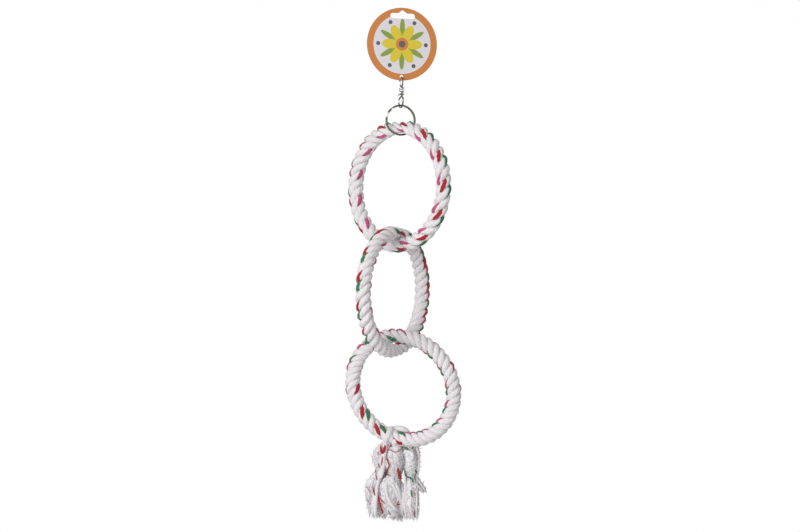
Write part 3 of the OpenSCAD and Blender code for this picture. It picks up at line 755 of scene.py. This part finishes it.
class TOY_OT_tassel(bpy.types.Operator):
    """Hangs the frayed tails below the lower ring: soft locks, opened threads and fluff"""
    bl_idname = "toy.tassel"
    bl_label = "Tassel"

    steps = 72
    lock_sides_step = 6
    lock_share = 0.52
    lock_turn = 2.4
    lock_swell, lock_stray = 0.07, 0.3
    lock_shift, lock_waves, lock_cut = (-0.2, 0.2), (1, 4), (0.9, 1.0)
    lock_tip, lock_taper = 0.3, 4
    loose_from, loose_turn_end = 0.3, 0.5
    tight_wave, stray_wave = 0.15, 0.12
    thread_waves, thread_thickness = (1, 6), (0.6, 1.3)
    thread_cut, longest_cut = (0.95, 0.04), 1.02
    thread_thinning, thread_tip, thread_taper = 0.5, 0.4, 12
    fluff_span, fluff_root, fluff_step = (0.06, 0.99), (-0.3, 0.5), (0.8, 2.0)
    fluff_flat, fluff_lift, foot_lift = 0.8, (0.1, 0.5), 0.6
    fluff_radii = [0.42, 0.4, 0.32, 0.15]

    def locks(self, settings, tail, chance):
        """Soft locks that fill a tail, laid loosely round each other and split at the foot."""
        locks = []
        for index in range(settings.locks):
            start = TURN * (index + chance.uniform(*self.lock_shift)) / settings.locks
            swell = [(chance.uniform(*self.lock_waves), chance.uniform(0, TURN)) for _ in range(3)]
            cut = chance.uniform(*self.lock_cut)
            path, radii = [], []
            for step in range(self.steps + 1):
                s = cut * step / self.steps
                middle, radius = tail.at(s)
                full = 1 + sum(self.lock_swell * math.sin(TURN * k * s + p) for k, p in swell)
                a = start + self.lock_turn * s + self.lock_stray * math.sin(TURN * swell[0][0] * s)
                lock_r = self.lock_share * radius * full
                path.append(middle + (radius - lock_r) * across(a))
                radii.append(lock_r * taper(cut - s, self.lock_tip, self.lock_taper))
            locks.append(Yarn(path, radii, 0, False))
        return locks

    def threads(self, settings, tail, chance):
        """Opened threads over a tail, which wave more towards its foot."""
        threads = []
        for _ in range(int(settings.threads * tail.widest)):
            start = chance.uniform(0, TURN)
            cut = min(self.longest_cut, chance.gauss(*self.thread_cut))
            thick = settings.thread_radius * chance.uniform(*self.thread_thickness)
            waves = [(chance.uniform(*self.thread_waves), chance.uniform(0, TURN)) for _ in range(4)]
            path, radii = [], []
            for step in range(0, self.steps + 1, 2):
                s = cut * step / self.steps
                middle, radius = tail.at(min(s, 1.0))
                middle = middle - UP * max(0.0, s - 1.0) * TASSEL_LENGTH
                loose = max(0.0, s - self.loose_from) / (1 - self.loose_from)
                reach = settings.wave * (self.tight_wave + loose)
                sway = [reach * math.sin(TURN * k * s + p) for k, p in waves]
                stray = self.stray_wave * (sway[2] + sway[3])
                a = start + self.lock_turn * min(s, self.loose_turn_end) + stray
                path.append(middle + radius * across(a) + Vector((sway[0], sway[1], 0)))
                thinned = thick * (1 - self.thread_thinning * loose)
                radii.append(thinned * taper(cut - s, self.thread_tip, self.thread_taper))
            threads.append(Yarn(path, radii, 0, False))
        return threads

    def fluff(self, settings, tail, chance):
        """Short fibres that lie over a tail in all directions."""
        last = len(self.fluff_radii) - 1
        least_lift, most_lift = self.fluff_lift
        fibres = []
        for _ in range(settings.fluff):
            s = chance.uniform(*self.fluff_span)
            middle, radius = tail.at(s)
            out = across(chance.uniform(0, TURN))
            root = middle + (radius + chance.uniform(*self.fluff_root)) * out
            way = Vector((chance.gauss(0, 1), chance.gauss(0, 1), chance.gauss(0, 1) - s))
            way -= self.fluff_flat * way.dot(out) * out
            way *= chance.uniform(*self.fluff_step) / way.length
            lift = chance.uniform(least_lift, most_lift + self.foot_lift * s)
            line = [root + k * way + lift * (k / last) ** 2 * out for k in range(last + 1)]
            fibres.append(Yarn(line, self.fluff_radii, 0, False))
        return fibres

    def execute(self, context):
        settings = context.scene.toy_tassel
        cotton = (bpy.data.materials["loose_cotton"],)
        for node in TAILS:
            tail = Tail(node)
            chance = random.Random(node)
            yarn_piece(f"{node}_locks", self.locks(settings, tail, chance), self.lock_sides_step, cotton,
                       "lower_ring", (node,), TASSEL_FELT)
            for kind, make in (("threads", self.threads), ("fluff", self.fluff)):
                yarn_piece(f"{node}_{kind}", make(settings, tail, chance), 0, cotton,
                           "lower_ring")
        return {"FINISHED"}


class TOY_OT_lashings(bpy.types.Operator):
    """Wraps the strands that lash the lower ring shut, two of which run down into its tails"""
    bl_idname = "toy.lashings"
    bl_label = "Lashings"

    sides_step = 2
    steps_per_span = 5
    tail_shares = (0.16, 0.22, 0.3)

    def route(self, places, tail):
        """Over the ring through its places, then down into a tail where there is one."""
        path = []
        for t, degrees, reach in places:
            middle, _, out, face = rope_frame(RINGS["lower"], math.radians(t))
            a = math.radians(degrees)
            path.append(middle + reach * (math.cos(a) * out + math.sin(a) * face))
        if tail:
            path += [Tail(tail).at(share)[0] for share in self.tail_shares]
        return smooth_path(path, self.steps_per_span)

    def execute(self, context):
        settings = context.scene.toy_tassel
        rope = context.scene.toy_rope
        cotton = (bpy.data.materials["cotton_yarn"],)
        for name, (places, tail) in LASHINGS.items():
            route = self.route(places, tail)
            yarns = twisted_yarns(route, settings.lashing_radius, rope.yarns, rope.yarn_share)
            yarn_piece(name, yarns, self.sides_step, cotton, "lower_ring", lumps=ROPE_FELT)
        return {"FINISHED"}


class TOY_OT_loose_ends(bpy.types.Operator):
    """Lays loose ends and curls, white and coloured, over the front and the back of the tassel"""
    bl_idname = "toy.loose_ends"
    bl_label = "Loose ends"

    margin = 2.5
    lift = 2.1
    steps, near = 100, 1
    sides_step = 1
    steps_per_span = 6
    tip, tip_taper = 0.4, 0.15

    def surface(self, tails, x, z, way):
        """Depth of the tassel's skin at a place seen from the front, way -1, or from the back, way 1."""
        best = tails[0].centre.y
        for tail in tails:
            for step in range(self.steps + 1):
                middle, radius = tail.at(step / self.steps)
                aside, reach = abs(middle.x - x), radius + self.margin
                if abs(middle.z - z) < self.near and aside < reach:
                    skin = middle.y + way * (math.sqrt(reach ** 2 - aside ** 2) - self.margin)
                    best = way * max(way * best, way * skin)
        return best

    def execute(self, context):
        tails = [Tail(node) for node in TAILS]
        materials = [bpy.data.materials["loose_cotton"]]
        materials += [bpy.data.materials[f"{tint}_yarn"] for tint in COLOURS]
        ends = []
        for way, loose in ((-1, FRONT_ENDS), (1, BACK_ENDS)):
            for tint, thick, points in loose:
                lift = 0 if tint == "white" else way * self.lift
                path = [Vector((x, self.surface(tails, x, z, way) + lift, z)) for x, z in points]
                path = smooth_path(path, self.steps_per_span)
                last = len(path) - 1
                radii = [thick * taper(min(k, last - k), self.tip, self.tip_taper)
                         for k in range(last + 1)]
                ends.append(Yarn(path, radii, ("white", *COLOURS).index(tint), False))
        yarn_piece("loose_coloured_ends", ends, self.sides_step, materials, "lower_ring")
        return {"FINISHED"}


class TOY_OT_fuzz(bpy.types.Operator):
    """Raises fine loose fibres from the rope rings"""
    bl_idname = "toy.fuzz"
    bl_label = "Rope fuzz"

    root_share = 0.93
    lift_share = 0.7
    root_spread, curl_spread = 0.7, 0.5
    fibre_step = (0.6, 1.5)
    bends = ((0, 0), (0.6, 0), (1.2, 0.5), (1.6, 1))
    radii = [0.07, 0.06, 0.05, 0.03]

    def fibres(self, settings, ring, chance):
        """Short curled fibres, rooted in the strands' outer sides."""
        strand_r = ring.strand * settings.plump
        fibres = []
        for _ in range(settings.fibres):
            t = chance.uniform(0, TURN)
            middle, out, side, size = strand_frame(ring, chance.randrange(3), t, strand_r)
            a = chance.gauss(0, self.root_spread)
            lift = math.cos(a) * out + math.sin(a) * side
            root = middle + size * strand_r * self.root_share * lift
            lean = Vector([chance.gauss(0, 1) for _ in range(3)])
            way = (self.lift_share * lift + lean.normalized()) * chance.uniform(*self.fibre_step)
            curl = Vector([chance.gauss(0, self.curl_spread) for _ in range(3)])
            line = [root + along * way + aside * curl for along, aside in self.bends]
            fibres.append(Yarn(line, self.radii, 0, False))
        return fibres

    def execute(self, context):
        settings = context.scene.toy_rope
        cotton = (bpy.data.materials["loose_cotton"],)
        for ring_name, ring in RINGS.items():
            fibres = self.fibres(settings, ring, random.Random(f"{ring_name}_fuzz"))
            yarn_piece(f"{ring_name}_fuzz", fibres, 0, cotton, f"{ring_name}_ring")
        return {"FINISHED"}


class TOY_OT_tag(bpy.types.Operator):
    """Prints the round card"""
    bl_idname = "toy.tag"
    bl_label = "Hang tag"

    def execute(self, context):
        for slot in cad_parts["hang_tag"].material_slots:
            slot.material = bpy.data.materials["tag_print"]
        return {"FINISHED"}


def settle(items, place):
    """Orders a shape's points or faces by their places, because spin leaves them in any order."""
    for rank, item in enumerate(sorted(items, key=lambda item: tuple(place(item)))):
        item.index = rank
    items.sort()


class TOY_OT_hardware(bpy.types.Operator):
    """Bends the wire clip and winds the flat wire of the split ring"""
    bl_idname = "toy.hardware"
    bl_label = "Clip and split ring"

    clip_top = -83.5
    clip_sides_step = 4
    wire_r, wire_end_r = 1.0, 0.8
    side = across(TAG_TURN)
    front = side.cross(UP)

    def clip_route(self):
        """The clip's wire, from its wrap round the spine to its latch tip: out of the front, across, up."""
        wrap_r, eye_r, loop_r, spine = 2.5, 6.4, 9.5, 3.0
        height, wrap_z, latch_z = 38.2, -13.6, -21.6
        spine_below, tip_reach, tip_drop = 2, 8, 1.5
        wide, tight = 5, 2.5
        wrap = [Vector((spine - wrap_r * math.sin(a), wrap_r * math.cos(a), wrap_z - wrap_r * (2 - a / TURN)))
                for a in spaced(0, 2 * TURN, 60)]
        eye = [Vector((eye_r * math.cos(a), 0, eye_r * (math.sin(a) - 1))) for a in spaced(math.pi, 0, 24)]
        loop = [Vector((loop_r * math.cos(a), 0, loop_r * (math.sin(a) + 1) - height))
                for a in spaced(0, -math.pi, 28)]
        latch = [Vector((spine + wrap_r * math.cos(a), wrap_r * math.sin(a), latch_z))
                 for a in spaced(math.pi / 2, -math.pi / 2, 14)]
        spine_top = Vector((spine, 0, wrap_z))
        spine_foot = Vector((spine, 0, latch_z - spine_below))
        tip = latch[-1] - Vector((tip_reach, 0, tip_drop))
        return (wrap + bend(wrap[-1], (-wide, 0, 0), eye[0], (0, 0, wide))
                + eye + bend(eye[-1], (0, 0, -wide), spine_top, (0, 0, -tight))
                + [spine_top, spine_foot] + bend(spine_foot, (0, 0, -tight), loop[0], (0, 0, -wide))
                + loop + bend(loop[-1], (0, 0, tight), latch[0], (wide, 0, 0)) + latch + [tip])

    def clip(self, nickel):
        """The clip's wire, swept along its route below the tag's hole."""
        top = Vector((0, 0, self.clip_top))
        route = [top + p.x * self.front + p.y * self.side + p.z * UP for p in self.clip_route()]
        radii = [self.wire_r] * len(route)
        radii[0] = radii[-1] = self.wire_end_r
        mesh = yarn_mesh("wire_clip_bent", [Yarn(route, radii, 0, False)], self.clip_sides_step, (nickel,))
        # Painted highlights on the clip's wire
        mark_painted_highlights(mesh)
        new_piece("wire_clip_bent", mesh, "wire_clip", ("wire_clip",))

    def split_ring(self, nickel):
        """Flat wire spun through nearly two turns, with a step from one turn to the other."""
        centre, middle_r, pitch = Vector((0, 0, -137.25)), 18.3, 1.6
        half_w, half_t, rim = 1.2, 0.55, 0.3
        first, last, step, step_at, step_span = 30, 690, 6, 168, 50

        def level(degrees):
            """Distance of the wire from the ring's middle plane, after this much of its winding."""
            done = min(1.0, max(0.0, (degrees - 360) / step_span + 0.5))
            return pitch * (0.5 - done * done * (3 - 2 * done))

        start = math.radians(first + step_at)
        radial = math.cos(start) * self.side + math.sin(start) * UP
        shape = bmesh.new()
        corners = []
        for quarter in range(4):
            for k in range(4):
                a = math.radians(90 * quarter + 30 * k)
                wide = (half_w - rim) * (1 if quarter in (0, 3) else -1) + rim * math.cos(a)
                deep = (half_t - rim) * (1 if quarter in (0, 1) else -1) + rim * math.sin(a)
                spot = centre + (middle_r + wide) * radial + (deep + level(first)) * self.front
                corners.append(shape.verts.new(spot * MM))
        edges = list(shape.faces.new(corners).edges)
        for degrees in range(first, last, step):
            climb = (level(degrees + step) - level(degrees)) * self.front * MM
            spun = bmesh.ops.spin(shape, geom=edges, cent=centre * MM, axis=-self.front, dvec=climb,
                                  angle=math.radians(step), steps=1)
            edges = [item for item in spun["geom_last"] if isinstance(item, bmesh.types.BMEdge)]
        bmesh.ops.contextual_create(shape, geom=edges)
        bmesh.ops.recalc_face_normals(shape, faces=shape.faces)
        settle(shape.verts, lambda vertex: vertex.co)
        settle(shape.faces, lambda face: face.calc_center_median())
        for face in shape.faces:
            face.smooth = True
        mesh = bpy.data.meshes.new("split_ring_wound")
        shape.to_mesh(mesh)
        shape.free()
        mesh.materials.append(nickel)
        # Painted highlights on the split ring's wire
        mark_painted_highlights(mesh)
        new_piece("split_ring_wound", mesh, "split_ring", ("split_ring",))

    def execute(self, context):
        nickel = bpy.data.materials["nickel_plate"]
        self.clip(nickel)
        self.split_ring(nickel)
        return {"FINISHED"}


class TOY_OT_stage(bpy.types.Operator):
    """Sets the camera, the lamps, the world and the floor"""
    bl_idname = "toy.stage"
    bl_label = "Stage"

    lit_point = Vector((0, 0, -0.32))
    floor_z, floor_r = -0.72, 0.4

    def camera(self, settings):
        data = bpy.data.cameras.new("camera")
        data.lens = data.sensor_width * settings.distance / settings.view_width
        data.clip_end = 50
        camera = bpy.data.objects.new("camera", data)
        camera.location = (settings.aim_x, -settings.distance, settings.aim_z)
        level = Matrix.Rotation(math.radians(90), 4, "X")
        camera.rotation_euler = (level @ Matrix.Rotation(settings.roll, 4, "Z")).to_euler()
        bpy.context.scene.collection.objects.link(camera)
        bpy.context.scene.camera = camera

    def lamp(self, name, place, size, power):
        data = bpy.data.lights.new(name, "AREA")
        data.size = size
        data.energy = power
        lamp = bpy.data.objects.new(name, data)
        lamp.location = place
        lamp.rotation_euler = (self.lit_point - Vector(place)).to_track_quat("-Z", "Y").to_euler()
        bpy.context.scene.collection.objects.link(lamp)

    def world(self, settings):
        """Soft light all round, which the camera, metal and glass see as white."""
        world = bpy.data.worlds.new("studio")
        bpy.context.scene.world = world
        world.use_nodes = True
        tree = world.node_tree
        path = tree.nodes.new("ShaderNodeLightPath")
        seen = path.outputs["Is Camera Ray"]
        for ray in ("Is Glossy Ray", "Is Transmission Ray"):
            either = tree.nodes.new("ShaderNodeMath")
            either.operation = "MAXIMUM"
            tree.links.new(seen, either.inputs[0])
            tree.links.new(path.outputs[ray], either.inputs[1])
            seen = either.outputs[0]
        light = tree.nodes.new("ShaderNodeMix")
        light.data_type = "RGBA"
        light.inputs["A"].default_value = (*settings.ambient, 1)
        light.inputs["B"].default_value = (1, 1, 1, 1)
        tree.links.new(seen, light.inputs["Factor"])
        background = tree.nodes["Background"]
        background.inputs["Strength"].default_value = 1.0
        tree.links.new(light.outputs["Result"], background.inputs["Color"])

    def floor(self, settings):
        shape = bmesh.new()
        bmesh.ops.create_circle(shape, cap_ends=True, segments=96, radius=self.floor_r)
        bmesh.ops.translate(shape, verts=shape.verts, vec=(0, 0, self.floor_z))
        mesh = bpy.data.meshes.new("floor")
        shape.to_mesh(mesh)
        shape.free()
        shader = Shader("floor")
        shader.set(Base_Color=(*settings.floor, 1), Roughness=0.9)
        mesh.materials.append(shader.material)
        floor = bpy.data.objects.new("floor", mesh)
        bpy.context.scene.collection.objects.link(floor)

    def execute(self, context):
        settings = context.scene.toy_stage
        context.scene.view_settings.view_transform = "Standard"
        self.camera(settings)
        for name, (place, size) in LAMPS.items():
            self.lamp(name, place, size, getattr(settings, name))
        self.world(settings)
        self.floor(settings)
        return {"FINISHED"}


OPERATORS = (TOY_OT_stage, TOY_OT_materials, TOY_OT_tag, TOY_OT_hardware, TOY_OT_rope_rings, TOY_OT_fuzz,
             TOY_OT_tassel, TOY_OT_lashings, TOY_OT_loose_ends)


class TOY_PT_panel(bpy.types.Panel):
    """Lists the settings and the steps of the toy"""
    bl_idname = "TOY_PT_panel"
    bl_label = "Rope ring toy"
    bl_space_type = "VIEW_3D"
    bl_region_type = "UI"
    bl_category = "Rope toy"

    def draw(self, context):
        for name, group in SETTINGS.items():
            box = self.layout.box()
            box.label(text=group.__name__)
            for key in group.__annotations__:
                box.prop(getattr(context.scene, name), key)
        for operator in OPERATORS:
            self.layout.operator(operator.bl_idname)


CLASSES = (*SETTINGS.values(), *OPERATORS, TOY_PT_panel)


def register():
    for item in CLASSES:
        bpy.utils.register_class(item)
    for name, group in SETTINGS.items():
        setattr(bpy.types.Scene, name, PointerProperty(type=group))


def unregister():
    for name in SETTINGS:
        delattr(bpy.types.Scene, name)
    for item in reversed(CLASSES):
        bpy.utils.unregister_class(item)


def main():
    register()
    for operator in OPERATORS:
        family, step = operator.bl_idname.split(".")
        getattr(getattr(bpy.ops, family), step)()


if __name__ == "__main__":
    main()
